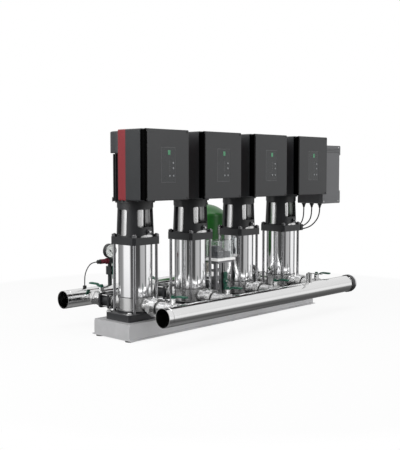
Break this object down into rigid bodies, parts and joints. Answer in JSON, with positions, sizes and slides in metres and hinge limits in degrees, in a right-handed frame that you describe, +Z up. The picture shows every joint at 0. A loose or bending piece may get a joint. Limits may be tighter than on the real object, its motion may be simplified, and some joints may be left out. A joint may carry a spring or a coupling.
{
  "type": "booster pump set",
  "caption": "Booster pump set: vertical multistage pumps with motor-mounted drives, valves, two manifolds, tank and gauge on one base frame",
  "frame": {"origin": "on the floor, under the middle of the whole set's outline", "axes": "+Z up, +X along the row of pumps from the open manifold ends to the capped ends, -Y the suction side, +Y the discharge side"},
  "size_m": [1.366, 0.775, 0.823],
  "materials": {
    "base_sheet": "satin",
    "foot_rubber": "matt",
    "black_casting": "painted, fine grain",
    "stainless": "satin",
    "polished_sleeve": "polished",
    "bolt_steel": "satin",
    "motor_paint": "semi-gloss",
    "cowl_plastic": "fine grain",
    "red_band": "semi-gloss",
    "case_paint": "semi-gloss",
    "lid_plastic": "fine grain",
    "panel_foil": "semi-gloss",
    "manifold_steel": "polished",
    "cap_metal": "satin",
    "tank_paint": "semi-gloss",
    "brass_fitting": "nickel plated",
    "dark_fitting": "oiled",
    "gauge_black": "fine grain",
    "cable_rubber": "matt",
    "tray_plastic": "fine grain",
    "cabinet_grey": "fine grain",
    "black_plastic": "fine grain",
    "lever_green": "semi-gloss",
    "clear_hood": "clear",
    "rotor_steel": "satin"
  },
  "bodies": {
    "frame": {"base_frame": "base_sheet", "base_feet": "foot_rubber", "pump_feet": "black_casting", "port_housings": "stainless", "stage_chambers": "stainless", "pump_sleeves": "polished_sleeve", "pump_heads": "black_casting", "staybolts": "bolt_steel", "fasteners": "bolt_steel", "motor_stools": "black_casting", "coupling_guards": "stainless", "motor_housings": "motor_paint", "fan_covers": "cowl_plastic", "drive_bands": "red_band", "drive_cases": "case_paint", "drive_lids": "lid_plastic", "operating_panels": "panel_foil", "isolating_valves": "stainless", "branch_fittings": "stainless", "check_valves": "black_casting", "pipe_clamps": "stainless", "suction_manifold": "manifold_steel", "discharge_manifold": "manifold_steel", "manifold_caps": "cap_metal", "diaphragm_tank": "tank_paint", "tank_connector": "brass_fitting", "gauge_riser": "dark_fitting", "pressure_gauge": "gauge_black", "pressure_transmitter": "stainless", "signal_cable": "cable_rubber", "strut_post": "stainless", "switch_box": "tray_plastic", "switch_cock": "dark_fitting", "dry_run_fitting": "stainless", "control_cabinet": "cabinet_grey", "cable_fittings": "black_plastic", "power_cable_1": "cable_rubber", "power_cable_2": "cable_rubber", "power_cable_3": "cable_rubber"},
    "pump_rotor_1": {"rotor_1": "rotor_steel"},
    "suction_handle_1": {"suction_lever_1": "lever_green"},
    "discharge_handle_1": {"discharge_lever_1": "lever_green"},
    "check_plate_1": {"check_disc_1": "black_plastic"},
    "pump_rotor_2": {"rotor_2": "rotor_steel"},
    "suction_handle_2": {"suction_lever_2": "lever_green"},
    "discharge_handle_2": {"discharge_lever_2": "lever_green"},
    "check_plate_2": {"check_disc_2": "black_plastic"},
    "pump_rotor_3": {"rotor_3": "rotor_steel"},
    "suction_handle_3": {"suction_lever_3": "lever_green"},
    "discharge_handle_3": {"discharge_lever_3": "lever_green"},
    "check_plate_3": {"check_disc_3": "black_plastic"},
    "pump_rotor_4": {"rotor_4": "rotor_steel"},
    "suction_handle_4": {"suction_lever_4": "lever_green"},
    "discharge_handle_4": {"discharge_lever_4": "lever_green"},
    "check_plate_4": {"check_disc_4": "black_plastic"},
    "pointer": {"gauge_pointer": "black_plastic"},
    "gauge_handle": {"gauge_cock_handle": "lever_green"},
    "switch_handle": {"switch_cock_handle": "lever_green"},
    "hood": {"switch_hood": "clear_hood"},
    "dry_run_handle": {"fitting_lever": "bolt_steel"}
  },
  "joints": [
    {"name": "rotor_1_spin", "type": "hinge", "parent": "frame", "child": "pump_rotor_1", "pos_m": [-0.545, -0.0155, 0.4], "axis": [0, 0, 1], "continuous": true},
    {"name": "suction_valve_1", "type": "hinge", "parent": "frame", "child": "suction_handle_1", "pos_m": [-0.545, -0.2305, 0.123], "axis": [0, 0, 1], "range_deg": [0, 90]},
    {"name": "discharge_valve_1", "type": "hinge", "parent": "frame", "child": "discharge_handle_1", "pos_m": [-0.545, 0.1995, 0.123], "axis": [0, 0, -1], "range_deg": [0, 90]},
    {"name": "check_valve_1_lift", "type": "slide", "parent": "frame", "child": "check_plate_1", "axis": [0, 1, 0], "range_m": [0, 0.009], "stiffness_N_per_m": 200},
    {"name": "rotor_2_spin", "type": "hinge", "parent": "frame", "child": "pump_rotor_2", "pos_m": [-0.225, -0.0155, 0.4], "axis": [0, 0, 1], "continuous": true},
    {"name": "suction_valve_2", "type": "hinge", "parent": "frame", "child": "suction_handle_2", "pos_m": [-0.225, -0.2305, 0.123], "axis": [0, 0, 1], "range_deg": [0, 90]},
    {"name": "discharge_valve_2", "type": "hinge", "parent": "frame", "child": "discharge_handle_2", "pos_m": [-0.225, 0.1995, 0.123], "axis": [0, 0, -1], "range_deg": [0, 90]},
    {"name": "check_valve_2_lift", "type": "slide", "parent": "frame", "child": "check_plate_2", "axis": [0, 1, 0], "range_m": [0, 0.009], "stiffness_N_per_m": 200},
    {"name": "rotor_3_spin", "type": "hinge", "parent": "frame", "child": "pump_rotor_3", "pos_m": [0.095, -0.0155, 0.4], "axis": [0, 0, 1], "continuous": true},
    {"name": "suction_valve_3", "type": "hinge", "parent": "frame", "child": "suction_handle_3", "pos_m": [0.095, -0.2305, 0.123], "axis": [0, 0, 1], "range_deg": [0, 90]},
    {"name": "discharge_valve_3", "type": "hinge", "parent": "frame", "child": "discharge_handle_3", "pos_m": [0.095, 0.1995, 0.123], "axis": [0, 0, -1], "range_deg": [0, 90]},
    {"name": "check_valve_3_lift", "type": "slide", "parent": "frame", "child": "check_plate_3", "axis": [0, 1, 0], "range_m": [0, 0.009], "stiffness_N_per_m": 200},
    {"name": "rotor_4_spin", "type": "hinge", "parent": "frame", "child": "pump_rotor_4", "pos_m": [0.415, -0.0155, 0.4], "axis": [0, 0, 1], "continuous": true},
    {"name": "suction_valve_4", "type": "hinge", "parent": "frame", "child": "suction_handle_4", "pos_m": [0.415, -0.2305, 0.123], "axis": [0, 0, 1], "range_deg": [0, 90]},
    {"name": "discharge_valve_4", "type": "hinge", "parent": "frame", "child": "discharge_handle_4", "pos_m": [0.415, 0.1995, 0.123], "axis": [0, 0, -1], "range_deg": [0, 90]},
    {"name": "check_valve_4_lift", "type": "slide", "parent": "frame", "child": "check_plate_4", "axis": [0, 1, 0], "range_m": [0, 0.009], "stiffness_N_per_m": 200},
    {"name": "pointer_turn", "type": "hinge", "parent": "frame", "child": "pointer", "pos_m": [-0.427, 0.2845, 0.31105], "axis": [0, 1, 0], "range_deg": [0, 270], "stiffness_Nm_per_rad": 0.002},
    {"name": "gauge_cock", "type": "hinge", "parent": "frame", "child": "gauge_handle", "pos_m": [-0.427, 0.2625, 0.22505], "axis": [0, 1, 0], "range_deg": [0, 90]},
    {"name": "switch_cock_turn", "type": "hinge", "parent": "frame", "child": "switch_handle", "pos_m": [-0.05, -0.0605, 0.172], "axis": [0, 1, 0], "range_deg": [0, 90]},
    {"name": "hood_hinge", "type": "hinge", "parent": "frame", "child": "hood", "pos_m": [-0.071, -0.0115, 0.282], "axis": [-1, 0, 0], "range_deg": [0, 100]},
    {"name": "dry_run_lever", "type": "hinge", "parent": "frame", "child": "dry_run_handle", "pos_m": [0.235, -0.3155, 0.20105], "axis": [0, 0, 1], "range_deg": [0, 90]}
  ]
}
